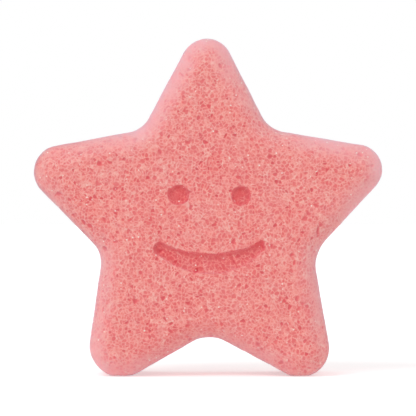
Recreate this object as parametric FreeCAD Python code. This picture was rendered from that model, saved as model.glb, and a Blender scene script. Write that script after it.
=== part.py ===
import FreeCAD, Part
import math
import os

# Moulded konjac sponge: a plump five-armed star with two round dimples and a crescent pressed in its
# front. X runs to the right, Y to the back and Z up, and the star stands on its two lower arms at Z = 0.
# Sizes are millimetres and turns are degrees.

Vector = FreeCAD.Vector

# Star outline, its arms counted clockwise from the upper one as seen from the front. Arm lengths and
# waist radii run from the centre to sharp corners, which are then rounded.
ARM_COUNT = 5
ARM_LENGTH = 53.8
ARM_LENGTH_SHARES = (0.998, 0.999, 1.071, 1.072, 1.001)
ARM_TURNS = (0.05, -0.36, 0.17, -1.81, -0.26)
WAIST_RADIUS = 28.2
WAIST_RADIUS_SHARES = (0.984, 1.01, 1.028, 0.995, 0.996)
VALLEY_TURNS = (-1.51, 0.07, -0.72, -0.3, -0.1)
TIP_RADIUS = 7.1
TIP_RADIUS_SHARES = (0.98, 0.952, 1.1, 1.196, 1.004)
VALLEY_RADIUS = 7.5
VALLEY_RADIUS_SHARES = (0.929, 1.237, 1.072, 0.928, 0.865)
FOOT_FLAT_DEPTH = 0.72

# Body through its thickness: the front lay at the bottom of the mould, the back at its open top
THICKNESS = 28.0
FLANK_DRAFT = 0.4
CROWN_RADIUS = 560.0
SHOULDER_WIDTH = 5.8
SHOULDER_DEPTH = 6.5
SHOULDER_FOOT_DEPTH = 8.5
SHOULDER_TURNS = (67.5, 45.0, 22.5)

# Dense skin that the mould leaves round the flanks, from the foot of the shoulder to the back
SKIN_THICKNESS = 0.8
SKIN_EDGE_DEPTH = 6.0

# Face pressed into the front, placed from the centre of the star
FACE_SHIFT = 0.66
EYE_DIAMETER = 5.2
EYE_SPACING = 15.7
EYE_RISE = 5.75
EYE_DEPTH = 1.8
MOUTH_WIDTH = 27.2
MOUTH_DROP = 5.8
MOUTH_END_HEIGHT = 2.8
MOUTH_END_BULGE = 1.0
MOUTH_UPPER_SAG = 3.1
MOUTH_HEIGHT = 4.9
MOUTH_DEPTH = 1.7
RECESS_WALL_WIDTH = 0.9

# Overrun of every pad and cutting tool past what it cuts
OVERRUN = 3.0


def polar(reach, turn):
    """Point of the outline plane at a clockwise turn from straight up."""
    angle = math.radians(turn)
    return Vector(reach * math.sin(angle), 0, reach * math.cos(angle))


def star_corners():
    """Sharp corners of the star, each with its rounding radius and side: 1 for a tip, -1 for a valley."""
    corners = []
    pitch = 360 / ARM_COUNT
    for arm in range(ARM_COUNT):
        tip = polar(ARM_LENGTH * ARM_LENGTH_SHARES[arm], arm * pitch + ARM_TURNS[arm])
        valley_turn = (arm + 0.5) * pitch + VALLEY_TURNS[arm]
        valley = polar(WAIST_RADIUS * WAIST_RADIUS_SHARES[arm], valley_turn)
        corners.append((tip, TIP_RADIUS * TIP_RADIUS_SHARES[arm], 1))
        corners.append((valley, VALLEY_RADIUS * VALLEY_RADIUS_SHARES[arm], -1))
    return corners


def corner_arcs():
    """Centre, radius, side and three spoke directions of the arc that rounds each corner."""
    corners = star_corners()
    arcs = []
    for place, (point, radius, side) in enumerate(corners):
        before = (corners[place - 1][0] - point).normalize()
        after = (corners[(place + 1) % len(corners)][0] - point).normalize()
        inward = (before + after).normalize()
        half_angle = before.getAngle(after) / 2
        centre = point + inward * (radius / math.sin(half_angle))
        tangent = radius / math.tan(half_angle)
        first = (point + before * tangent - centre).normalize()
        last = (point + after * tangent - centre).normalize()
        arcs.append((centre, radius, side, (first, inward * -1, last)))
    return arcs


def crown_fall(point):
    """How far the crowned front has fallen back from its middle at a point of the outline plane."""
    return CROWN_RADIUS - math.sqrt(CROWN_RADIUS**2 - point.x**2 - point.z**2)


def star_wire(inset, depth, crowned=False):
    """Rounded star outline drawn in by an inset, flat at one depth or falling back with the crown."""
    rings = []
    for centre, radius, side, spokes in corner_arcs():
        ring = [centre + spoke * (radius - side * inset) for spoke in spokes]
        for point in ring:
            point.y = depth + (crown_fall(point) if crowned else 0)
        rings.append(ring)
    edges = []
    for place, ring in enumerate(rings):
        edges.append(Part.Arc(*ring).toShape())
        edges.append(Part.LineSegment(ring[-1], rings[(place + 1) % len(rings)][0]).toShape())
    return Part.Wire(edges)


FRONT = -THICKNESS / 2
BACK = THICKNESS / 2
OUTLINE_BOX = Part.Face(star_wire(0, 0)).BoundBox
FLOOR = OUTLINE_BOX.ZMin + FOOT_FLAT_DEPTH
SEAT = Vector(-OUTLINE_BOX.Center.x, 0, -FLOOR)


def flank_inset(depth):
    """How far the mould's draft has drawn the flank in at a depth, nothing at the open back."""
    return FLANK_DRAFT * (BACK - depth) / THICKNESS


def block(low, high, bottom):
    """Block wider and taller than the star, between two depths and above a level."""
    reach = ARM_LENGTH * max(ARM_LENGTH_SHARES) + OVERRUN
    return Part.makeBox(2 * reach, high - low, reach - bottom, Vector(-reach, low, bottom))


def stand(body, inset):
    """Body cut flat under its two lower arms."""
    return body.common(block(FRONT - OVERRUN, BACK + 2 * OVERRUN, FLOOR + inset))


def shoulder_profile():
    """Inset and depth of each outline up the shoulder; the last lies past the crown on the same slope."""
    profile = []
    for turn in SHOULDER_TURNS:
        angle = math.radians(turn)
        inset = FLANK_DRAFT + SHOULDER_WIDTH * (1 - math.sin(angle))
        rise = SHOULDER_DEPTH * (1 - math.cos(angle))
        profile.append((inset, FRONT + rise))
    slope = SHOULDER_DEPTH / SHOULDER_WIDTH * math.tan(angle)
    profile.append((inset + 2 * rise / slope, FRONT - rise))
    return profile


def blank():
    """Whole outside of the sponge before its face is pressed: flat back, full shoulders, crowned front."""
    profile = shoulder_profile()
    foot = FRONT + SHOULDER_FOOT_DEPTH
    back_wire = star_wire(0, BACK)
    foot_wire = star_wire(flank_inset(foot), foot)
    crown_wires = [star_wire(inset, depth, True) for inset, depth in profile]
    lid_wire = star_wire(profile[-1][0], FRONT - OVERRUN)
    faces = [Part.Face(back_wire), Part.Face(lid_wire)]
    faces += Part.makeLoft([back_wire, foot_wire], False, True).Faces
    faces += Part.makeLoft([foot_wire] + crown_wires, False, False).Faces
    faces += Part.makeLoft([crown_wires[-1], lid_wire], False, True).Faces
    shell = Part.makeShell(faces)
    shell.sewShape()
    dome = Part.makeSphere(CROWN_RADIUS, Vector(0, FRONT + CROWN_RADIUS, 0))
    return stand(Part.makeSolid(shell).common(dome), 0)


def surface_depth(x, z):
    """Depth of the crowned front at a place on the face."""
    return FRONT + crown_fall(Vector(x, 0, z))


def eye_tool(x):
    """Round, tapered tool for one eye dimple."""
    surface = surface_depth(x, EYE_RISE)
    mouth_radius = EYE_DIAMETER / 2 + RECESS_WALL_WIDTH * OVERRUN / EYE_DEPTH
    floor_radius = EYE_DIAMETER / 2 - RECESS_WALL_WIDTH
    start = Vector(x, surface - OVERRUN, EYE_RISE)
    return Part.makeCone(mouth_radius, floor_radius, OVERRUN + EYE_DEPTH, start, Vector(0, 1, 0))


def crescent_wire(inset, depth):
    """Crescent outline drawn in by an inset, in the plane Y = depth."""
    half = MOUTH_WIDTH / 2 - inset
    corner = half - MOUTH_END_BULGE
    top = -MOUTH_DROP - inset
    low = -MOUTH_DROP - MOUTH_END_HEIGHT + inset
    upper = Vector(FACE_SHIFT, depth, top - MOUTH_UPPER_SAG)
    lower = Vector(FACE_SHIFT, depth, upper.z - MOUTH_HEIGHT + 2 * inset)
    end_places = ((corner, top), (half, (top + low) / 2), (corner, low))
    left = [Vector(FACE_SHIFT - across, depth, z) for across, z in end_places]
    right = [Vector(2 * FACE_SHIFT - point.x, depth, point.z) for point in left]
    arcs = [
        Part.Arc(left[0], upper, right[0]),
        Part.Arc(*right),
        Part.Arc(right[-1], lower, left[-1]),
        Part.Arc(*reversed(left)),
    ]
    return Part.Wire([arc.toShape() for arc in arcs])


def mouth_tool():
    """Tapered tool for the crescent."""
    surface = surface_depth(FACE_SHIFT, -MOUTH_DROP - MOUTH_UPPER_SAG)
    outside = crescent_wire(-RECESS_WALL_WIDTH * OVERRUN / MOUTH_DEPTH, surface - OVERRUN)
    floor = crescent_wire(RECESS_WALL_WIDTH, surface + MOUTH_DEPTH)
    return Part.makeLoft([outside, floor], True, True)


def press_face(body):
    """Body with the two eyes and the crescent pressed in."""
    for side in (-1, 1):
        body = body.cut(eye_tool(FACE_SHIFT + side * EYE_SPACING / 2))
    return body.cut(mouth_tool())


def skin_and_core():
    """Skin band round the flanks and the open-celled body that it wraps, face to face."""
    whole = blank()
    edge = FRONT + SKIN_EDGE_DEPTH
    near = edge - OVERRUN
    far = BACK + OVERRUN
    plug_wires = [star_wire(SKIN_THICKNESS + flank_inset(depth), depth) for depth in (near, far)]
    plug = stand(Part.makeLoft(plug_wires, True, True), SKIN_THICKNESS)
    skin = whole.common(block(edge, far, FLOOR - OVERRUN)).cut(plug)
    return skin, press_face(whole.cut(skin))


def export(name, shape):
    """Seat a piece in the object's frame and write it."""
    piece = shape.copy()
    piece.translate(SEAT)
    if len(piece.Solids) != 1 or not piece.isValid():
        raise RuntimeError(f"{name} is not one valid solid")
    box = piece.BoundBox
    print(f"{name}: {piece.Volume:.0f} mm3, {box.XLength:.1f} x {box.YLength:.1f} x {box.ZLength:.1f} mm")
    piece.Solids[0].exportStep(f"parts/{name}.step")


os.makedirs("parts", exist_ok=True)
skin, core = skin_and_core()
export("moulded_skin", skin)
export("foam_core", core)
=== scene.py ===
import math

import bpy
import numpy as np
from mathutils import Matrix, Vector


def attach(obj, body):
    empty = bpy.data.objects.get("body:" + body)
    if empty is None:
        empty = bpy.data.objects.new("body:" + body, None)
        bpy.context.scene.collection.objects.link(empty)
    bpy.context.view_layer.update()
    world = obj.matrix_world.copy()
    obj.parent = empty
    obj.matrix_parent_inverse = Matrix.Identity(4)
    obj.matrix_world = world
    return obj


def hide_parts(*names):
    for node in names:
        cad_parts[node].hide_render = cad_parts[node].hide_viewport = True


# Konjac sponge: an open-celled star with two round pits and a crescent pressed in its front, wrapped round
# the flanks in a thin smooth skin. Its mesh is worked out in millimetres round the star's centre, X to the
# right, Y to the back and Z up, and then set in the part's frame in metres.

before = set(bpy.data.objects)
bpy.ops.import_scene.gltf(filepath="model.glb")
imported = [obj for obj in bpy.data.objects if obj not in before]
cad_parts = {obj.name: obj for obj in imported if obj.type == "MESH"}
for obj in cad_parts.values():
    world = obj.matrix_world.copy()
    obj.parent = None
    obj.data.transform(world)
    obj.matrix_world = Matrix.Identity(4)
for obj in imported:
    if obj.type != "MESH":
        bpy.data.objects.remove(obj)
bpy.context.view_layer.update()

MM = 0.001

# Star outline, as in the solids: arms clockwise from the upper one, each followed by its valley
ARM_COUNT = 5
ARM_LENGTH = 53.8
ARM_LENGTH_SHARES = (0.998, 0.999, 1.071, 1.072, 1.001)
ARM_TURNS = (0.05, -0.36, 0.17, -1.81, -0.26)
WAIST_RADIUS = 28.2
WAIST_RADIUS_SHARES = (0.984, 1.01, 1.028, 0.995, 0.996)
VALLEY_TURNS = (-1.51, 0.07, -0.72, -0.3, -0.1)
TIP_RADIUS = 7.1
TIP_RADIUS_SHARES = (0.98, 0.952, 1.1, 1.196, 1.004)
VALLEY_RADIUS = 7.5
VALLEY_RADIUS_SHARES = (0.929, 1.237, 1.072, 0.928, 0.865)
FOOT_FLAT_DEPTH = 0.72

# Body through its thickness: the shoulder's width holds the draft, and the crown fades from a turn on it
FRONT = -14.0
BACK = 14.0
FLANK_DRAFT = 0.4
CROWN_RADIUS = 560.0
CROWN_FADE_TURN = 35.0
SHOULDER_WIDTH = 6.2
SHOULDER_DEPTH = 6.5
BACK_RIM_RADIUS = 0.5
SKIN_THICKNESS = 0.8

# Pressed face: place, half width and half height of each eye, and the crescent with the heights of its left
# and right end
EYES = ((-7.25, 5.98, 2.66, 2.48), (8.42, 5.74, 2.42, 2.46))
EYE_DEPTH = 1.1
EYE_WALL = 1.3
MOUTH_SHIFT = 0.66
MOUTH_CORNER = 12.6
MOUTH_DROP = 5.65
MOUTH_END_HEIGHTS = (3.5, 2.7)
MOUTH_END_OVERLAP = 0.35
MOUTH_UPPER_SAG = 2.95
MOUTH_HEIGHT = 5.0
MOUTH_DEPTH = 1.05
MOUTH_UPPER_WALL = 1.1
MOUTH_LOWER_WALL = 0.8
MOUTH_END_WALL = 1.1
WALL_CURVE = 2.2

# Looks of the pressed face: wavering rims, smoother walls and pits reddened as painted shade, less so where
# light falls in
RIM_WAVER = 0.14
RIM_WAVER_PITCH = 1.1
RIM_WAVER_SEEDS = (40, 41)
RIM_WIDTH = 0.1
EYE_LIT_SPAN = 0.9
EYE_LIT_LOSS = 0.23
EYE_PIT_EDGE = (-0.05, 0.3)
MOUTH_SHADE = (0.6, 1.9)
MOUTH_SMOOTHNESS = 0.8
MOUTH_PIT_SHADE = 0.46
MOUTH_SHADE_REDNESS = 0.34
MOUTH_END_SHADE = 0.2
MOUTH_ENDS = (9.5, 12.0)
MOUTH_PIT_EDGE = 0.15

# Uneven skin, partly its own tone and partly painted light and shade, paler on most upward tips and edges
# and less pale on most undersides and the left tip: place and reach of each patch, then how much paler, how
# much more painted mauve shade and how much more closed it is
SKIN_PATCHES = (
    (-47.0, 15.0, 9.0, -0.9, 0.6, 0.6),
    (-31.0, 0.0, 9.0, -1.0, 0.0, 0.0),
    (-9.0, -26.0, 8.0, -0.7, 0.0, 0.0),
    (3.0, -24.0, 9.0, -0.7, -0.1, 0.0),
    (-3.0, 46.0, 15.0, 1.6, 0.0, 0.3),
    (-16.0, 24.0, 9.0, 0.9, 0.0, 0.2),
    (13.0, 36.0, 8.0, -0.6, 0.0, 0.0),
    (16.0, 22.0, 8.0, -0.5, 0.1, 0.0),
    (29.0, 20.0, 8.0, 0.9, 0.0, 0.15),
    (47.0, 17.0, 7.0, 1.2, -0.1, 0.3),
    (43.0, 5.0, 9.0, 0.5, -0.4, 0.2),
    (33.0, -4.0, 7.0, -0.9, -0.1, 0.0),
    (-26.0, -38.0, 9.0, 0.6, -0.15, 0.1),
    (28.0, -34.0, 9.0, -0.5, 0.0, 0.0),
)

# Skin over the foam, in insets from the outline and falls down the flank. Clouds hold a pitch, a seed and a
# weight each, and make it patchy.
SKIN_CLOUDS = ((3.0, 3, 0.7), (1.3, 4, 0.6))
PORE_OPENING = (-0.8, 4.2)
FLANK_CLOSING = 0.6
PATCH_FADING = (3.0, 12.0)
LEAST_OPEN = 0.45
PALE_FADING = (-0.8, 7.5)
PALENESS = 0.95
FLANK_PALENESS = 0.6
FLANK_PALING = (1.0, 5.0)
PALEST = 1.9
BACK_OPENING = (0.8, 1.4)
BACK_PALENESS = 0.5
BACK_PALE_FADING = (0.8, 1.8)
RIM_CLOSING = 0.3
RIM_CLOSING_REACH = 0.4

# Painted mauve shade of the shoulder, stronger on the left: where it starts down the shoulder and fades down
# the flank
RIM_SHADE = 0.09
RIM_SHADE_CLOUDS = ((9.0, 6, -0.08),)
LEFT_RIM_SHADE = 0.12
LEFT_SIDE = (-12.0, -34.0)
MOST_RIM_SHADE = 0.65
RIM_SHADE_START = 1.8
RIM_SHADE_LOSS = 0.9
RIM_SHADE_FADING = (0.5, 6.0)

# Foam cells of the mesh: a cell's centre strays over a spread of its grid box, and its levels are the least,
# what its random share adds and what the deepest few add
CELL_PITCH = 0.92
CELL_SEED = 20
CELL_SPREAD = 0.94
CELL_WEB = 0.16
CELL_DEPTHS = (0.07, 0.07, 0.13)
# Cell redness is painted shade, most in the deepest cells
CELL_REDNESS = (0.23, 0.22, 0.3)
DEEPEST_SHARES = (0.9, 0.99)
CELL_DRIFT = 0.3
CELL_DRIFT_PITCH = 1.0
CELL_DRIFT_SEEDS = (10, 11, 12)

# Wide pores, a few of a coarser set of cells
WIDE_PITCH = 1.5
WIDE_SEED = 21
WIDE_WEB = (0.08, 0.42)
WIDE_SHARES = (0.9, 0.97)
WIDE_OPENNESS = (0.3, 0.8)
WIDE_DEPTH = 0.28
# Redness of the wide pores is painted shade
WIDE_REDNESS = 0.72

# Lumps of the whole surface, shifted inwards so that they stay inside the solids
LUMP_CLOUDS = ((9.0, 1, 0.32), (4.0, 2, 0.38), (1.8, 5, 0.4))
LUMP_DEPTH = 0.14
LUMP_SHIFT = 1.3

# Relief and redness in the pressed face; the redness is painted shade on its walls and pit floors
WALL_SMOOTHING = 0.6
WALL_REDNESS = 0.24
WALL_EVENNESS = 0.75
PIT_FLOOR_SHADE = 0.2
PIT_WEB_LEVEL = 0.4

# Distances to the outline: points in a batch, and columns from one outline point used to the next
GAP_BATCH = 20000
GAP_STEP = 4

# Mesh: columns from a valley to the next tip, and rows from the front to the back
COLUMNS = 156
SHOULDER_ROWS = 56
FLANK_ROWS = 64
BACK_RIM_ROWS = 3
WALL_ROWS = 6
WALL_LEDGE = 0.6

# Layout of the two maps, in millimetres on a side
FOAM_MAP_SIDE = 130.0
FRONT_MAP_CENTRE = (48.8, 45.2)
BACK_MAP_CENTRE = (98.0, 97.0)
BACK_MAP_SCALE = 0.68
FOAM_STRIP_WIDTH = 56.0
FOAM_STRIP_HEIGHT = 5.0
FOAM_STRIP_PITCH = 6.2
SKIN_MAP_SIDE = 138.0
SKIN_STRIP_WIDTH = 66.0
SKIN_STRIP_HEIGHT = 26.0
SKIN_STRIP_PITCH = (69.0, 46.0)
SKIN_WALL_HEIGHT = 15.0
MAP_MARGIN = 1.0


def smooth(low, high, value):
    """Smooth step from 0 at the low value to 1 at the high one."""
    share = np.clip((value - low) / (high - low), 0, 1)
    return share * share * (3 - 2 * share)


def polar(reach, turn):
    """Point of the outline plane at a clockwise turn from straight up."""
    angle = math.radians(turn)
    return np.array((reach * math.sin(angle), reach * math.cos(angle)))


def corner_arcs():
    """Centre, radius, side and the first, middle and last direction of the arc that rounds each corner.

    The side is 1 for a tip and -1 for a valley. The first arc is that of the valley before the upper tip."""
    corners = []
    pitch = 360 / ARM_COUNT
    for arm in range(ARM_COUNT):
        tip = polar(ARM_LENGTH * ARM_LENGTH_SHARES[arm], arm * pitch + ARM_TURNS[arm])
        valley_turn = (arm + 0.5) * pitch + VALLEY_TURNS[arm]
        valley = polar(WAIST_RADIUS * WAIST_RADIUS_SHARES[arm], valley_turn)
        corners.append((tip, TIP_RADIUS * TIP_RADIUS_SHARES[arm], 1))
        corners.append((valley, VALLEY_RADIUS * VALLEY_RADIUS_SHARES[arm], -1))
    arcs = []
    for place, (point, radius, side) in enumerate(corners):
        before = corners[place - 1][0] - point
        after = corners[(place + 1) % len(corners)][0] - point
        before /= np.linalg.norm(before)
        after /= np.linalg.norm(after)
        inward = (before + after) / np.linalg.norm(before + after)
        half_angle = math.acos(before @ after) / 2
        centre = point + inward * radius / math.sin(half_angle)
        tangent = radius / math.tan(half_angle)
        first = (point + before * tangent - centre) / radius
        last = (point + after * tangent - centre) / radius
        arcs.append((centre, radius, side, first, -inward, last))
    return arcs[-1:] + arcs[:-1]


def turned(start, end, share):
    """Unit directions at shares of the angle between two directions."""
    angle = math.acos(start @ end)
    share = share[:, None]
    return (np.sin((1 - share) * angle) * start + np.sin(share * angle) * end) / math.sin(angle)


def outline_columns():
    """Outline point and inward direction of every column, clockwise from the valley before the upper tip.

    They are spread evenly along the outline halfway up the shoulder, so that none crowd at tip or valley."""
    arcs = corner_arcs()
    middle = SHOULDER_WIDTH / 2
    points, inwards = [], []
    for place, (centre, radius, side, _, mid, last) in enumerate(arcs):
        next_centre, next_radius, next_side, next_first, next_mid, _ = arcs[(place + 1) % len(arcs)]
        start = centre + last * radius
        end = next_centre + next_first * next_radius
        leaving_length = math.acos(mid @ last) * (radius - side * middle)
        line_length = np.linalg.norm(end - start)
        arriving_length = math.acos(next_first @ next_mid) * (next_radius - next_side * middle)
        total = leaving_length + line_length + arriving_length
        along = np.arange(COLUMNS) / COLUMNS * total
        leaving = turned(mid, last, along / leaving_length)
        arriving = turned(next_first, next_mid, 1 - (total - along) / arriving_length)
        line = start + (end - start) * ((along - leaving_length) / line_length)[:, None]
        is_leaving = (along < leaving_length)[:, None]
        is_arriving = (along > leaving_length + line_length)[:, None]
        point = np.where(is_leaving, centre + leaving * radius, line)
        points.append(np.where(is_arriving, next_centre + arriving * next_radius, point))
        inward = np.where(is_leaving, -side * leaving, -side * last)
        inwards.append(np.where(is_arriving, -next_side * arriving, inward))
    return np.concatenate(points), np.concatenate(inwards)


OUTLINE, INWARD = outline_columns()
COLUMN_COUNT = len(OUTLINE)
FLOOR = OUTLINE[:, 1].min() + FOOT_FLAT_DEPTH
SEAT_X = -(OUTLINE[:, 0].min() + OUTLINE[:, 0].max()) / 2


def placed(plane, depth, floor=0.0):
    """Points in the part's frame, in millimetres, from outline points and depths, none below a floor."""
    height = np.maximum(plane[:, 1] - FLOOR, floor)
    return np.stack((plane[:, 0] + SEAT_X, np.broadcast_to(depth, height.shape), height), axis=1)


def crown_fall(plane):
    """How far the crowned front has fallen back at points of the outline plane."""
    return CROWN_RADIUS - np.sqrt(CROWN_RADIUS**2 - (plane**2).sum(-1))


def crescent_gaps(plane):
    """Gaps inside the crescent from its upper edge, lower edge and corners, and inside its round ends."""
    x = plane[:, 0] - MOUTH_SHIFT
    z = plane[:, 1] + MOUTH_DROP
    end_height = np.where(x < 0, *MOUTH_END_HEIGHTS)
    lower_sag = MOUTH_UPPER_SAG + MOUTH_HEIGHT - end_height
    upper_radius = (MOUTH_CORNER**2 + MOUTH_UPPER_SAG**2) / (2 * MOUTH_UPPER_SAG)
    lower_radius = (MOUTH_CORNER**2 + lower_sag**2) / (2 * lower_sag)
    upper = np.hypot(x, z + MOUTH_UPPER_SAG - upper_radius) - upper_radius
    lower = lower_radius - np.hypot(x, z + MOUTH_UPPER_SAG + MOUTH_HEIGHT - lower_radius)
    end_x = np.abs(x) - MOUTH_CORNER + MOUTH_END_OVERLAP
    return upper, lower, MOUTH_CORNER - np.abs(x), end_height / 2 - np.hypot(end_x, z + end_height / 2)


def bowl(share):
    """Depth share of a pressed wall, steep under its rim and easing into its floor."""
    return 1 - (1 - np.clip(share, 0, 1)) ** WALL_CURVE


def pressed_eye(plane, x, z, half_width, half_height):
    """Depth of one eye, its shares of smooth wall and of painted pit shade, and the gap inside its rim."""
    right = (plane[:, 0] - x) / half_width
    up = (plane[:, 1] - z) / half_height
    gap = half_width * (1 - np.hypot(right, up))
    lit = smooth(0, EYE_LIT_SPAN, right - up)
    wall = smooth(0, RIM_WIDTH, gap) * (1 - lit)
    # Painted pit shade, less where light falls in
    pit = smooth(*EYE_PIT_EDGE, gap) * (1 - EYE_LIT_LOSS * lit)
    return EYE_DEPTH * bowl(gap / EYE_WALL), wall, pit, gap


def pressed_mouth(plane):
    """Depth of the crescent, its shares of smooth wall and of painted pit shade, and the gap inside its rim.
    """
    upper, lower, along, end = crescent_gaps(plane)
    share = np.minimum(upper / MOUTH_UPPER_WALL, lower / MOUTH_LOWER_WALL)
    share = np.maximum(np.minimum(share, along + MOUTH_END_OVERLAP), end / MOUTH_END_WALL)
    gap = np.maximum(np.minimum(np.minimum(upper, lower), along), end)
    under_edge = np.where(along > 0, 1 - smooth(*MOUTH_SHADE, upper), 1)
    wall = MOUTH_SMOOTHNESS * smooth(0, RIM_WIDTH, gap) * under_edge
    near_end = smooth(*MOUTH_ENDS, np.abs(plane[:, 0] - MOUTH_SHIFT))
    # Painted shade across the mouth, deepest under its upper edge and at its ends
    redness = MOUTH_PIT_SHADE + MOUTH_SHADE_REDNESS * under_edge + MOUTH_END_SHADE * near_end
    pit = smooth(0, MOUTH_PIT_EDGE, gap) * redness
    return MOUTH_DEPTH * bowl(share), wall, pit, gap


def pressed(plane):
    """Depth of the pressed face, its shares of smooth wall and of painted pit shade, and the gap outside its
    rims.
    """
    spots = np.stack((plane[:, 0], np.zeros(len(plane)), plane[:, 1]), 1)
    waver = np.stack([cloud(spots, RIM_WAVER_PITCH, seed) for seed in RIM_WAVER_SEEDS], 1)
    plane = plane + RIM_WAVER * waver
    parts = [pressed_eye(plane, *eye) for eye in EYES] + [pressed_mouth(plane)]
    depth, wall, pit, gap = np.max(parts, axis=0)
    return depth, wall, pit, -gap


def ring_profile():
    """Inset, rise behind the front and share of the crown for each ring row, and the skin's first row."""
    thickness = BACK - FRONT
    foot_inset = FLANK_DRAFT * (thickness - SHOULDER_DEPTH) / thickness
    rows = []
    for turn in np.linspace(0, 90, SHOULDER_ROWS):
        angle = math.radians(turn)
        inset = foot_inset + (SHOULDER_WIDTH - foot_inset) * (1 - math.sin(angle))
        rows.append((inset, SHOULDER_DEPTH * (1 - math.cos(angle)), 1 - smooth(CROWN_FADE_TURN, 90, turn)))
    for rise in np.linspace(SHOULDER_DEPTH, thickness - BACK_RIM_RADIUS, FLANK_ROWS)[1:]:
        rows.append((FLANK_DRAFT * (thickness - rise) / thickness, rise, 0))
    for turn in np.linspace(0, 90, BACK_RIM_ROWS + 1)[1:]:
        angle = math.radians(turn)
        rise = thickness - BACK_RIM_RADIUS * (1 - math.sin(angle))
        rows.append((BACK_RIM_RADIUS * (1 - math.cos(angle)), rise, 0))
    rows.append((SKIN_THICKNESS, thickness, 0))
    return np.array(rows), SHOULDER_ROWS - 1


PROFILE, SEAM_ROW = ring_profile()
ROW_COUNT = len(PROFILE)
RING_COUNT = ROW_COUNT * COLUMN_COUNT


def row_lengths(rows):
    """Length along a section of the rings from its first row to each of its rows."""
    steps = np.linalg.norm(np.diff(rows[:, :2], axis=0), axis=1)
    return np.concatenate(((0,), np.cumsum(steps)))


def ring_quads(ids):
    """Quads between rows of closed columns, row by row, that face away from the star's middle."""
    after = np.roll(ids, -1, axis=1)
    return np.stack((after[:-1], after[1:], ids[1:], ids[:-1]), -1).reshape(-1, 4)


def star_patch(boundary, boundary_ids, first):
    """Points and quads of five kite-shaped grids that fill a closed row of columns, facing the front.

    The new points are numbered from the first one on."""
    share = np.arange(COLUMNS + 1) / COLUMNS
    inner = COLUMNS - 1
    valleys = np.arange(ARM_COUNT) * 2 * COLUMNS
    points = [np.zeros((1, 2))]
    spokes = []
    made = first + 1
    for valley in valleys:
        points.append(boundary[valley] * share[1:-1, None])
        spokes.append(np.concatenate(((first,), made + np.arange(inner), (boundary_ids[valley],))))
        made += inner
    quads = []
    u, v = share[:, None, None], share[None, :, None]
    for arm, valley in enumerate(valleys):
        rising = valley + np.arange(COLUMNS + 1)
        falling = (valley + 2 * COLUMNS - np.arange(COLUMNS + 1)) % COLUMN_COUNT
        start, end, tip = boundary[valley], boundary[falling[0]], boundary[rising[-1]]
        across = (1 - v) * u * start + v * boundary[falling][:, None]
        along = (1 - u) * v * end + u * boundary[rising][None]
        grid = across + along - u * (1 - v) * start - v * (1 - u) * end - u * v * tip
        ids = np.empty((COLUMNS + 1, COLUMNS + 1), int)
        ids[1:-1, 1:-1] = made + np.arange(inner * inner).reshape(inner, inner)
        ids[:, 0] = spokes[arm]
        ids[0, :] = spokes[(arm + 1) % ARM_COUNT]
        ids[-1, :] = boundary_ids[rising]
        ids[:, -1] = boundary_ids[falling]
        made += inner * inner
        points.append(grid[1:-1, 1:-1].reshape(-1, 2))
        quads.append(np.stack((ids[:-1, 1:], ids[1:, 1:], ids[1:, :-1], ids[:-1, :-1]), -1).reshape(-1, 4))
    return np.concatenate(points), np.concatenate(quads)


def vertex_normals(points, quads):
    """Area-weighted unit normal of each point."""
    corner = points[quads]
    face = np.cross(corner[:, 2] - corner[:, 0], corner[:, 3] - corner[:, 1])
    normals = np.zeros_like(points)
    for place in range(4):
        for axis in range(3):
            normals[:, axis] += np.bincount(quads[:, place], face[:, axis], len(points))
    return normals / np.maximum(np.linalg.norm(normals, axis=1, keepdims=True), 1e-12)


def random_grid(points, pitch, seed, values):
    """Seeded random values on a grid about the points, and every point's place in that grid."""
    place = (points - points.min(0)) / pitch + 2
    size = place.max(0).astype(int) + 3
    return np.random.default_rng(seed).random((*size, values), dtype=np.float32), place


def foam(points, pitch, seed):
    """Distance to the nearest wall between foam cells, and the random share of the cell round each point."""
    table, place = random_grid(points, pitch, seed, 4)
    home = place.astype(int)
    first, second = np.full((2, len(points)), np.inf)
    share = np.zeros(len(points))
    for shift in np.ndindex(3, 3, 3):
        cell = home + shift - 1
        drawn = table[cell[:, 0], cell[:, 1], cell[:, 2]]
        centre = cell + (1 - CELL_SPREAD) / 2 + CELL_SPREAD * drawn[:, :3]
        gap = np.linalg.norm(place - centre, axis=1) * pitch
        share = np.where(gap < first, drawn[:, 3], share)
        second = np.minimum(second, np.maximum(first, gap))
        first = np.minimum(first, gap)
    return (second - first) / 2, share


def cloud(points, pitch, seed):
    """Smooth random field from -1 to 1 with lumps about one pitch across."""
    table, place = random_grid(points, pitch, seed, 1)
    home = place.astype(int)
    part = smooth(0, 1, place - home)
    field = np.zeros(len(points))
    for shift in np.ndindex(2, 2, 2):
        weight = np.prod(np.where(shift, part, 1 - part), axis=1)
        cell = home + shift
        field += weight * table[cell[:, 0], cell[:, 1], cell[:, 2], 0]
    return field * 2 - 1


def clouds(layers):
    """Sum of smooth random fields at the points, one for each layer's pitch, seed and weight."""
    return sum(cloud(points, pitch, seed) * weight for pitch, seed, weight in layers)


def outline_gap(plane):
    """Distance from points of the plane to the outline, worked out in batches to spare memory."""
    batches = np.array_split(plane, 1 + len(plane) // GAP_BATCH)
    outline = OUTLINE[None, ::GAP_STEP]
    return np.concatenate([np.linalg.norm(batch[:, None] - outline, axis=2).min(1) for batch in batches])


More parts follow.
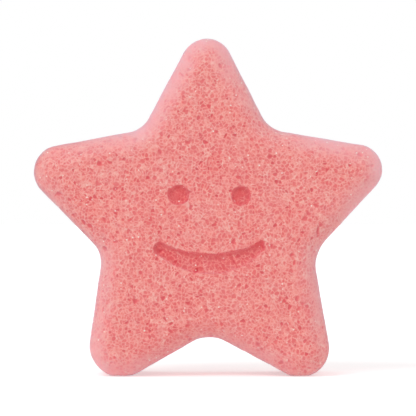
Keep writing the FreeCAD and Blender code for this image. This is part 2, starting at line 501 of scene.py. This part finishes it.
def outer_surface():
    """Smooth closed outside of the sponge: its points, outline-plane points, rows and quads of each side.

    Row -1 stands for the front patch and the row after the last ring for the back patch."""
    ring_plane = OUTLINE[None] + INWARD[None] * PROFILE[:, 0, None, None]
    ring_depth = FRONT + PROFILE[:, 1, None] + crown_fall(ring_plane) * PROFILE[:, 2, None]
    ids = np.arange(RING_COUNT).reshape(ROW_COUNT, COLUMN_COUNT)
    front_plane, front_quads = star_patch(ring_plane[0], ids[0], RING_COUNT)
    back_plane, back_quads = star_patch(ring_plane[-1], ids[-1], RING_COUNT + len(front_plane))
    plane = np.concatenate((ring_plane.reshape(-1, 2), front_plane, back_plane))
    front_depth = FRONT + crown_fall(front_plane)
    depth = np.concatenate((ring_depth.ravel(), front_depth, np.full(len(back_plane), BACK)))
    rows = [np.repeat(np.arange(ROW_COUNT), COLUMN_COUNT)]
    rows.append(np.full(len(front_plane), -1))
    rows.append(np.full(len(back_plane), ROW_COUNT))
    quads = (ring_quads(ids), front_quads, back_quads[:, ::-1])
    return placed(plane, depth), plane, np.concatenate(rows), quads


points, plane, row, (flank_quads, front_quads, back_quads) = outer_surface()
outer_quads = np.concatenate((flank_quads, front_quads, back_quads))

# The face is pressed into the front only
depth, wall, pit, outside = pressed(plane)
faces_front = row < SEAM_ROW // 2
depth = np.where(faces_front, depth, 0)
wall = np.where(faces_front, wall, 0)
pit = np.where(faces_front, pit, 0)
outside = np.where(faces_front, outside, np.inf)
points[:, 1] += depth
normals = vertex_normals(points, outer_quads)


def patch_changes():
    """How much paler (partly painted light and shade), more painted mauve shade and more closed the patches
    leave it.
    """
    changes = np.zeros((3, len(points)))
    for x, z, reach, *change in SKIN_PATCHES:
        near = np.exp(-((plane[:, 0] - x) ** 2 + (plane[:, 1] - z) ** 2) / reach**2)
        changes += np.outer(change, near)
    return changes


def openness():
    """How open the foam is at each point, how pale the skin over it and how much mauve shade is painted on
    its rim.
    """
    on_back = row == ROW_COUNT
    on_patch = on_back | (row < 0)
    ring_row = np.clip(row, 0, ROW_COUNT - 1)
    rise = PROFILE[ring_row, 1]
    inset = PROFILE[ring_row, 0]
    inset[on_patch] = outline_gap(plane[on_patch])
    down_flank = np.where(on_patch, 0, np.maximum(rise - SHOULDER_DEPTH, 0))
    patchy_inset = inset + clouds(SKIN_CLOUDS)
    paler, more_rim_shade, closed = patch_changes()
    share = smooth(*PORE_OPENING, patchy_inset - FLANK_CLOSING * down_flank)
    share *= 1 - np.clip(closed, 0, 1) * (1 - smooth(*PATCH_FADING, inset))
    paleness = PALENESS + FLANK_PALENESS * smooth(*FLANK_PALING, down_flank) + paler
    pale = (1 - smooth(*PALE_FADING, patchy_inset - down_flank)) * np.clip(paleness, 0, PALEST)
    # Painted shade: the shoulder's rim turns mauve, more on the left
    rim_shade = RIM_SHADE + clouds(RIM_SHADE_CLOUDS) + LEFT_RIM_SHADE * smooth(*LEFT_SIDE, plane[:, 0]) + more_rim_shade
    rim = np.where(on_patch, 0, smooth(RIM_SHADE_START, SHOULDER_DEPTH, rise)) * np.clip(rim_shade, 0, MOST_RIM_SHADE)
    rim *= 1 - RIM_SHADE_LOSS * smooth(*RIM_SHADE_FADING, down_flank)
    share = np.where(on_back, smooth(*BACK_OPENING, inset), share)
    pale = np.where(on_back, BACK_PALENESS * (1 - smooth(*BACK_PALE_FADING, inset)), pale)
    share = LEAST_OPEN + (1 - LEAST_OPEN) * share
    share *= 1 - RIM_CLOSING * np.exp(-((outside / RIM_CLOSING_REACH) ** 2))
    return share, pale, rim


def cell_level(levels, share):
    """Level of cells from their random share: the least, what the share adds and what the deepest add."""
    least, growth, extra = levels
    return least + growth * share + extra * smooth(*DEEPEST_SHARES, share)


def relief(open_share):
    """Depth of the pores and lumps at each point, and how red the pores read there: painted shade, redder
    where deeper.
    """
    drift = np.stack([cloud(points, CELL_DRIFT_PITCH, seed) for seed in CELL_DRIFT_SEEDS], 1)
    drifted = points + drift * CELL_DRIFT
    web, share = foam(drifted, CELL_PITCH, CELL_SEED)
    cells = np.clip(web / CELL_WEB, 0, 1)
    wide_web, wide_share = foam(drifted, WIDE_PITCH, WIDE_SEED)
    wide = smooth(*WIDE_WEB, wide_web) * smooth(*WIDE_SHARES, wide_share)
    wide *= smooth(*WIDE_OPENNESS, open_share)
    carve = np.maximum(open_share * cells * cell_level(CELL_DEPTHS, share), WIDE_DEPTH * wide)
    has_lumps = (row < ROW_COUNT - 2) | (row == ROW_COUNT)
    carve += np.where(has_lumps, LUMP_DEPTH * (clouds(LUMP_CLOUDS) + LUMP_SHIFT), 0)
    carve *= 1 - WALL_SMOOTHING * wall
    # Painted shade: pores redder as they deepen
    pore = np.maximum(open_share * cells * cell_level(CELL_REDNESS, share), WIDE_REDNESS * wide)
    # Painted shade: pores in the floors of the pressed pits are redder
    pore += PIT_FLOOR_SHADE * pit * (1 - wall) * (PIT_WEB_LEVEL + cells)
    pore += (WALL_REDNESS - pore) * WALL_EVENNESS * wall
    return carve, pore


open_share, skin, rim = openness()
carve, pore = relief(open_share)
points = points - normals * carve[:, None]
points[:, 2] = np.maximum(points[:, 2], 0)
normals = vertex_normals(points, outer_quads)
# Pore, pit and rim carry painted shade; skin is the skin's own paleness
ATTRIBUTES = {"pore": pore, "skin": skin, "pit": pit, "rim": rim}


def hidden_wall():
    """Wall between foam and skin: points and outward normals of its inner rows."""
    thickness = BACK - FRONT
    ledge = SHOULDER_DEPTH + WALL_LEDGE
    rises = [SHOULDER_DEPTH] + list(np.linspace(ledge, thickness, WALL_ROWS)[:-1])
    rows = []
    for rise in rises:
        inset = SKIN_THICKNESS + FLANK_DRAFT * (thickness - rise) / thickness
        rows.append(placed(OUTLINE + INWARD * inset, FRONT + rise, SKIN_THICKNESS))
    outward = np.stack((-INWARD[:, 0], np.zeros(COLUMN_COUNT), -INWARD[:, 1]), 1)
    return np.concatenate(rows), np.tile(outward, (len(rises), 1)), len(rises)


def strips(heights, places, width):
    """Map corners of all quads between rows of columns, laid out as a strip for each arm."""
    column = np.arange(COLUMN_COUNT)
    arm_columns = 2 * COLUMNS
    place = np.array(places)[column // arm_columns]
    left = place[:, 0] + column % arm_columns * width / arm_columns
    right = left + width / arm_columns
    low = place[:, 1] + heights[:-1, None]
    high = place[:, 1] + heights[1:, None]
    v = np.stack((low, high, high, low), -1)
    u = np.broadcast_to(np.stack((right, right, left, left), -1), v.shape)
    return np.stack((u, v), -1).reshape(-1, 4, 2)


def foam_map(quads, wall_rows):
    """Map corners of the foam: front with its shoulder rolled flat, smaller back, and the hidden wall."""
    spot = plane + FRONT_MAP_CENTRE
    length = row_lengths(PROFILE[: SEAM_ROW + 1])
    rolled = OUTLINE[None] + INWARD[None] * (SHOULDER_WIDTH - length)[:, None, None]
    spot[: rolled.size // 2] = rolled.reshape(-1, 2) + FRONT_MAP_CENTRE
    on_back = row >= ROW_COUNT - 1
    spot[on_back] = plane[on_back] * (-BACK_MAP_SCALE, BACK_MAP_SCALE) + BACK_MAP_CENTRE
    top = FOAM_MAP_SIDE - MAP_MARGIN - FOAM_STRIP_HEIGHT
    places = [(MAP_MARGIN, top - arm * FOAM_STRIP_PITCH) for arm in range(ARM_COUNT)]
    heights = np.linspace(0, FOAM_STRIP_HEIGHT, wall_rows)
    wall_map = strips(heights, places, FOAM_STRIP_WIDTH)
    return np.concatenate((spot[quads], wall_map)) / FOAM_MAP_SIDE


def skin_map(wall_rows):
    """Map corners of the skin: a strip of its outside for each arm, and the hidden wall above it."""
    places = []
    for arm in range(ARM_COUNT):
        across = MAP_MARGIN + arm % 2 * SKIN_STRIP_PITCH[0]
        places.append((across, MAP_MARGIN + arm // 2 * SKIN_STRIP_PITCH[1]))
    length = row_lengths(PROFILE[SEAM_ROW:])
    outer = strips(length / length[-1] * SKIN_STRIP_HEIGHT, places, SKIN_STRIP_WIDTH)
    above = SKIN_STRIP_HEIGHT + 2 * MAP_MARGIN
    wall_map = strips(np.linspace(above + SKIN_WALL_HEIGHT, above, wall_rows), places, SKIN_STRIP_WIDTH)
    return np.concatenate((outer, wall_map[:, ::-1])) / SKIN_MAP_SIDE


def build_piece(name, quads, inner_points, inner_normals, inner_quads, corners):
    """Mesh object from outer quads and its side of the hidden wall, with attributes, map and normals."""
    used = np.unique(quads)
    number = np.zeros(len(points) + len(inner_points), int)
    number[used] = np.arange(len(used))
    number[len(points) :] = len(used) + np.arange(len(inner_points))
    verts = np.concatenate((points[used], inner_points)) * MM
    faces = number[np.concatenate((quads, inner_quads))]
    mesh = bpy.data.meshes.new(name)
    mesh.vertices.add(len(verts))
    mesh.vertices.foreach_set("co", verts.astype(np.float32).ravel())
    mesh.loops.add(faces.size)
    mesh.loops.foreach_set("vertex_index", faces.astype(np.int32).ravel())
    mesh.polygons.add(len(faces))
    mesh.polygons.foreach_set("loop_start", np.arange(0, faces.size, 4, dtype=np.int32))
    mesh.update(calc_edges=True)
    mesh.polygons.foreach_set("use_smooth", np.ones(len(faces), bool))
    for label, values in ATTRIBUTES.items():
        full = np.concatenate((values[used], np.zeros(len(inner_points))))
        mesh.attributes.new(label, "FLOAT", "POINT").data.foreach_set("value", full.astype(np.float32))
    uv_map = mesh.uv_layers.new(name="OFBake")
    uv_map.uv.foreach_set("vector", corners.astype(np.float32).ravel())
    mesh.normals_split_custom_set_from_vertices(np.concatenate((normals[used], inner_normals)).tolist())
    piece = bpy.data.objects.new(name, mesh)
    bpy.context.scene.collection.objects.link(piece)
    return piece


def build_pieces():
    """Foam and skin, closed against each other by the same hidden wall."""
    wall_points, wall_normals, inner_rows = hidden_wall()
    seam = SEAM_ROW * COLUMN_COUNT + np.arange(COLUMN_COUNT)
    back_seam = (ROW_COUNT - 1) * COLUMN_COUNT + np.arange(COLUMN_COUNT)
    inner = len(points) + np.arange(len(wall_points)).reshape(inner_rows, COLUMN_COUNT)
    wall_quads = ring_quads(np.concatenate((seam[None], inner, back_seam[None])))
    split = SEAM_ROW * COLUMN_COUNT
    foam_quads = np.concatenate((flank_quads[:split], front_quads, back_quads))
    corners = foam_map(foam_quads, inner_rows + 2)
    foam_piece = build_piece("sponge_foam", foam_quads, wall_points, wall_normals, wall_quads, corners)
    corners = skin_map(inner_rows + 2)
    skin_quads = flank_quads[split:]
    wall_quads = wall_quads[:, ::-1]
    skin_piece = build_piece("sponge_skin", skin_quads, wall_points, -wall_normals, wall_quads, corners)
    return foam_piece, skin_piece


foam_piece, skin_piece = build_pieces()

# Colours, as red, green and blue from 0 to 255: webs and skin colour of each piece, then cells and pores,
# whose redness is painted shade, the painted shade of the pressed face and of the rim, painted glints, milk
# and sheen
FOAM_COLOURS = ((249, 178, 168), (249, 183, 188))
SKIN_COLOURS = ((250, 178, 174), (248, 170, 173))
CELL_COLOUR = (237, 126, 124)
PORE_COLOUR = (228, 86, 94)
PIT_SHADE_TINT = (247, 191, 198)
RIM_SHADE_TINT = (172, 180, 210)
GLINT_COLOUR = (255, 240, 232)
MILK_COLOUR = (255, 226, 214)
SHEEN_TINT = (208, 182, 216)

# Redness at which the cell colour stands between web and pore, and the share of skin colour where skin is
CELL_STOP = 0.4
SKIN_SHARE = 0.5

# Textures: scales are in cells or lumps per metre, and drifts and heights in metres. A noise holds its
# scale, detail and roughness.
FINE_SCALE = 1700.0
FINE_DRIFT_NOISE = (1500.0, 1.0, 0.5)
FINE_DRIFT = 0.0006
FINE_WEB = 0.16
FINE_LEVELS = (0.1, 0.4)
FINE_BARE_LEVEL = 1.25
FINE_SKIN_LOSS = 0.5
FINE_REDNESS = 0.44
FINE_BUMP = 0.5
FINE_DEPTH = 0.0001
# Painted glints
GLINT_SCALE = 700.0
GLINT_RADII = (0.17, 0.1)
GLINT_CHANCES = (0.5, 0.9)
GLINT_SHARE = 0.9
MILK_NOISE = (620.0, 3.0, 0.7)
MILK_LEVELS = (0.5, 0.7)
MILK_SHARE = 0.6
MILK_END_REDNESS = 0.35
MILK_END_SKIN = 1.6
MILK_SKIN_SHARE = 0.1
MOTTLE_NOISE = (260.0, 3.0, 0.6)
MOTTLE_LEVELS = (0.9, 1.1)
GRAIN_NOISE = (4200.0, 2.0, 0.7)
GRAIN_BUMP = 0.3
GRAIN_HEIGHT = 0.00012
ROUGHNESS_LEVELS = (0.42, 0.72)

# Moist gel: light scatters a little way in, red farthest, and a soft sheen rims it
SURFACE = {
    "Specular IOR Level": 0.35,
    "Subsurface Weight": 0.6,
    "Subsurface Radius": (0.8, 0.3, 0.27),
    "Subsurface Scale": 0.0016,
    "Sheen Weight": 0.6,
    "Sheen Roughness": 0.5,
}


def linear(red, green, blue):
    """Linear colour from an sRGB one of 0 to 255."""
    colour = []
    for channel in (red, green, blue):
        value = channel / 255
        colour.append(value / 12.92 if value <= 0.04045 else ((value + 0.055) / 1.055) ** 2.4)
    return colour + [1]


def feed(tree, socket, value):
    """Link an input to another node's output, or set it."""
    if isinstance(value, bpy.types.NodeSocket):
        tree.links.new(value, socket)
    else:
        socket.default_value = value


def node(tree, kind, **values):
    """New node, its properties set and inputs fed; an underscore stands for a space in an input's name."""
    made = tree.nodes.new(kind)
    for name, value in values.items():
        label = name.replace("_", " ")
        if label in made.inputs:
            feed(tree, made.inputs[label], value)
        else:
            setattr(made, name, value)
    return made


def maths(tree, operation, first, second):
    """Output of a maths node on two values."""
    made = node(tree, "ShaderNodeMath", operation=operation)
    feed(tree, made.inputs[0], first)
    feed(tree, made.inputs[1], second)
    return made.outputs[0]


def mixed(tree, blend, share, first, second):
    """Colour output of a mix of two colours."""
    made = node(tree, "ShaderNodeMix", data_type="RGBA", blend_type=blend, Factor=share, A=first, B=second)
    return made.outputs["Result"]


def ranged(tree, value, **ends):
    """Output of a map from one range of values to another; what isn't given stays 0 or 1."""
    return node(tree, "ShaderNodeMapRange", Value=value, **ends).outputs["Result"]


def noise(tree, spot, scale, detail, roughness):
    """Noise texture at a spot."""
    return node(tree, "ShaderNodeTexNoise", Vector=spot, Scale=scale, Detail=detail, Roughness=roughness)


def random_level(tree, cells):
    """Random value from 0 to 1 for each cell of a texture."""
    return node(tree, "ShaderNodeSeparateColor", Color=cells.outputs["Color"]).outputs["Red"]


def fine_cells(tree, spot, skin):
    """Level of the cells too fine to mesh, which sinks them and reddens them as painted shade: 0 on their
    webs, and lower where there is skin.
    """
    drift = noise(tree, spot, *FINE_DRIFT_NOISE)
    drifted = node(tree, "ShaderNodeVectorMath", operation="MULTIPLY_ADD")
    for socket, value in zip(drifted.inputs, (drift.outputs["Color"], (FINE_DRIFT,) * 3, spot)):
        feed(tree, socket, value)
    place = drifted.outputs["Vector"]
    edge = node(tree, "ShaderNodeTexVoronoi", feature="DISTANCE_TO_EDGE", Vector=place, Scale=FINE_SCALE)
    cells = node(tree, "ShaderNodeTexVoronoi", Vector=place, Scale=FINE_SCALE)
    inside = ranged(tree, edge.outputs["Distance"], interpolation_type="SMOOTHSTEP", From_Max=FINE_WEB)
    level = ranged(tree, random_level(tree, cells), To_Min=FINE_LEVELS[0], To_Max=FINE_LEVELS[1])
    bare = maths(tree, "SUBTRACT", FINE_BARE_LEVEL, maths(tree, "MULTIPLY", skin, FINE_SKIN_LOSS))
    return maths(tree, "MULTIPLY", maths(tree, "MULTIPLY", inside, level), bare)


def foam_colour(tree, redness, shares, web_colour, skin_colour):
    """Colour from pale web to red pore as painted shade, paler with skin, with painted shade where pressed
    and on the rim.
    """
    ramp = node(tree, "ShaderNodeValToRGB", Fac=redness)
    ramp.color_ramp.elements[0].color = linear(*web_colour)
    ramp.color_ramp.elements[1].color = linear(*PORE_COLOUR)
    ramp.color_ramp.elements.new(CELL_STOP).color = linear(*CELL_COLOUR)
    skin_share = maths(tree, "MULTIPLY", shares["skin"], SKIN_SHARE)
    colour = mixed(tree, "MIX", skin_share, ramp.outputs["Color"], linear(*skin_colour))
    # Painted shade in the pressed pits and along the rim
    colour = mixed(tree, "MULTIPLY", shares["pit"], colour, linear(*PIT_SHADE_TINT))
    return mixed(tree, "MULTIPLY", shares["rim"], colour, linear(*RIM_SHADE_TINT))


def painted_glints(tree, spot):
    """Share of white in small round painted glints, strewn over a part of the cells."""
    beads = node(tree, "ShaderNodeTexVoronoi", Vector=spot, Scale=GLINT_SCALE)
    dot = ranged(tree, beads.outputs["Distance"], From_Min=GLINT_RADII[0], From_Max=GLINT_RADII[1])
    chosen = ranged(tree, random_level(tree, beads), From_Min=GLINT_CHANCES[0], From_Max=GLINT_CHANCES[1])
    return maths(tree, "MULTIPLY", maths(tree, "MULTIPLY", dot, chosen), GLINT_SHARE)


def milky_webs(tree, spot, redness, skin):
    """Share of milk in blotches, most on the webs and least on the skin: partly creamier webs, partly
    painted highlight.
    """
    milk = noise(tree, spot, *MILK_NOISE)
    blotch = ranged(tree, milk.outputs["Fac"], From_Min=MILK_LEVELS[0], From_Max=MILK_LEVELS[1])
    on_web = ranged(tree, redness, From_Max=MILK_END_REDNESS, To_Min=MILK_SHARE, To_Max=0.0)
    off_skin = ranged(tree, skin, From_Max=MILK_END_SKIN, To_Min=1.0, To_Max=MILK_SKIN_SHARE)
    return maths(tree, "MULTIPLY", maths(tree, "MULTIPLY", blotch, on_web), off_skin)


def fine_normal(tree, grain, fine):
    """Surface normal, rough with grain and sunk where the fine cells are."""
    bump = node(tree, "ShaderNodeBump", Strength=GRAIN_BUMP, Distance=GRAIN_HEIGHT, Height=grain)
    sunk = node(tree, "ShaderNodeBump", invert=True, Strength=FINE_BUMP, Distance=FINE_DEPTH, Height=fine)
    feed(tree, sunk.inputs["Normal"], bump.outputs["Normal"])
    return sunk.outputs["Normal"]


def sponge_material(name, web_colour, skin_colour):
    """Moist plant-gel foam with fine cells, painted shade, painted glints, milky webs, a little mottle and a
    mauve sheen.
    """
    material = bpy.data.materials.new(name)
    material.use_nodes = True
    tree = material.node_tree
    shares = {}
    for label in ATTRIBUTES:
        shares[label] = node(tree, "ShaderNodeAttribute", attribute_name=label).outputs["Fac"]
    spot = node(tree, "ShaderNodeTexCoord").outputs["Object"]
    fine = fine_cells(tree, spot, shares["skin"])
    # Painted shade: fine cells and pores redder than their webs
    redness = maths(tree, "ADD", maths(tree, "MULTIPLY", fine, FINE_REDNESS), shares["pore"])
    colour = foam_colour(tree, redness, shares, web_colour, skin_colour)
    # Painted glints: small white dots in the base colour
    colour = mixed(tree, "MIX", painted_glints(tree, spot), colour, linear(*GLINT_COLOUR))
    milk = milky_webs(tree, spot, redness, shares["skin"])
    # Milk: partly creamier webs, partly painted highlight
    colour = mixed(tree, "MIX", milk, colour, linear(*MILK_COLOUR))
    mottle = noise(tree, spot, *MOTTLE_NOISE).outputs["Fac"]
    saturation = ranged(tree, mottle, To_Min=MOTTLE_LEVELS[0], To_Max=MOTTLE_LEVELS[1])
    tint = node(tree, "ShaderNodeHueSaturation", Color=colour, Saturation=saturation)
    grain = noise(tree, spot, *GRAIN_NOISE).outputs["Fac"]
    shader = tree.nodes["Principled BSDF"]
    feed(tree, shader.inputs["Base Color"], tint.outputs["Color"])
    feed(tree, shader.inputs["Normal"], fine_normal(tree, grain, fine))
    rough = ranged(tree, grain, To_Min=ROUGHNESS_LEVELS[0], To_Max=ROUGHNESS_LEVELS[1])
    feed(tree, shader.inputs["Roughness"], rough)
    feed(tree, shader.inputs["Sheen Tint"], linear(*SHEEN_TINT))
    for label, value in SURFACE.items():
        feed(tree, shader.inputs[label], value)
    return material


def declare(piece, replaced, material):
    """Give a piece its material, set it on the root body and hide the solid it stands in for."""
    piece.data.materials.append(material)
    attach(piece, "root")
    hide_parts(replaced)


foam_material = sponge_material("konjac_foam", *FOAM_COLOURS)
skin_material = sponge_material("konjac_skin", *SKIN_COLOURS)
declare(foam_piece, "foam_core", foam_material)
declare(skin_piece, "moulded_skin", skin_material)

# Studio, in metres: white floor and surroundings, and lamps by place, spread in degrees and strength
WHITE = (1, 1, 1, 1)
FLOOR_REACH = 6.0
FLOOR_WHITE = (0.85, 0.85, 0.85, 1)
FLOOR_GLOW = 0.15
FLOOR_SEEN_GLOW = 0.3
WORLD_STRENGTH = 0.6
LAMPS = (("key", (-0.45, -0.68, 0.85), 30, 1.05), ("front", (0.8, -1.0, -0.1), 60, 0.3))
LAMP_AIM = (0, 0, 0.043)
CAMERA_PLACE = (0.00003, -0.7, 0.04215)
CAMERA_SENSOR = 36
CAMERA_LENS = 239.2


def seen(tree):
    """1 for rays from the camera and through or off something clear or glossy, else 0."""
    path = node(tree, "ShaderNodeLightPath")
    share = maths(tree, "MAXIMUM", path.outputs["Is Camera Ray"], path.outputs["Is Glossy Ray"])
    return maths(tree, "MAXIMUM", share, path.outputs["Is Transmission Ray"])


def white_floor():
    """Wide white floor that keeps a soft shadow."""
    reach = FLOOR_REACH
    corners = [(-reach, -reach, 0), (reach, -reach, 0), (reach, reach, 0), (-reach, reach, 0)]
    mesh = bpy.data.meshes.new("floor")
    mesh.from_pydata(corners, [], [(0, 1, 2, 3)])
    floor = bpy.data.objects.new("floor", mesh)
    bpy.context.scene.collection.objects.link(floor)
    material = bpy.data.materials.new("floor_white")
    material.use_nodes = True
    tree = material.node_tree
    tree.nodes.clear()
    diffuse = node(tree, "ShaderNodeBsdfDiffuse", Color=FLOOR_WHITE)
    strength = maths(tree, "ADD", maths(tree, "MULTIPLY", seen(tree), FLOOR_SEEN_GLOW), FLOOR_GLOW)
    glow = node(tree, "ShaderNodeEmission", Color=WHITE, Strength=strength)
    both = node(tree, "ShaderNodeAddShader")
    feed(tree, both.inputs[0], diffuse.outputs[0])
    feed(tree, both.inputs[1], glow.outputs[0])
    node(tree, "ShaderNodeOutputMaterial", Surface=both.outputs[0])
    mesh.materials.append(material)


def world_light(strength):
    """Even white light from all round, and plain white where it is seen."""
    world = bpy.data.worlds.new("studio")
    bpy.context.scene.world = world
    world.use_nodes = True
    tree = world.node_tree
    tree.nodes.clear()
    light = node(tree, "ShaderNodeBackground", Color=WHITE, Strength=strength)
    white = node(tree, "ShaderNodeBackground", Color=WHITE, Strength=1.0)
    mix = node(tree, "ShaderNodeMixShader", Fac=seen(tree))
    feed(tree, mix.inputs[1], light.outputs[0])
    feed(tree, mix.inputs[2], white.outputs[0])
    node(tree, "ShaderNodeOutputWorld", Surface=mix.outputs[0])


def lamp(name, place, spread, strength):
    """Distant lamp that shines from a place at the sponge's middle, as wide as its spread in degrees."""
    data = bpy.data.lights.new(name, "SUN")
    data.angle = math.radians(spread)
    data.energy = strength
    made = bpy.data.objects.new(name, data)
    bpy.context.scene.collection.objects.link(made)
    made.location = place
    made.rotation_mode = "QUATERNION"
    made.rotation_quaternion = (Vector(LAMP_AIM) - Vector(place)).to_track_quat("-Z", "Y")


def front_camera():
    """Camera straight in front of the star, level with its middle."""
    data = bpy.data.cameras.new("camera")
    data.sensor_width = CAMERA_SENSOR
    data.lens = CAMERA_LENS
    made = bpy.data.objects.new("camera", data)
    bpy.context.scene.collection.objects.link(made)
    made.location = CAMERA_PLACE
    made.rotation_euler = (math.radians(90), 0, 0)
    bpy.context.scene.camera = made


white_floor()
world_light(WORLD_STRENGTH)
for name, place, spread, strength in LAMPS:
    lamp(name, place, spread, strength)
front_camera()
bpy.context.scene.view_settings.view_transform = "Standard"
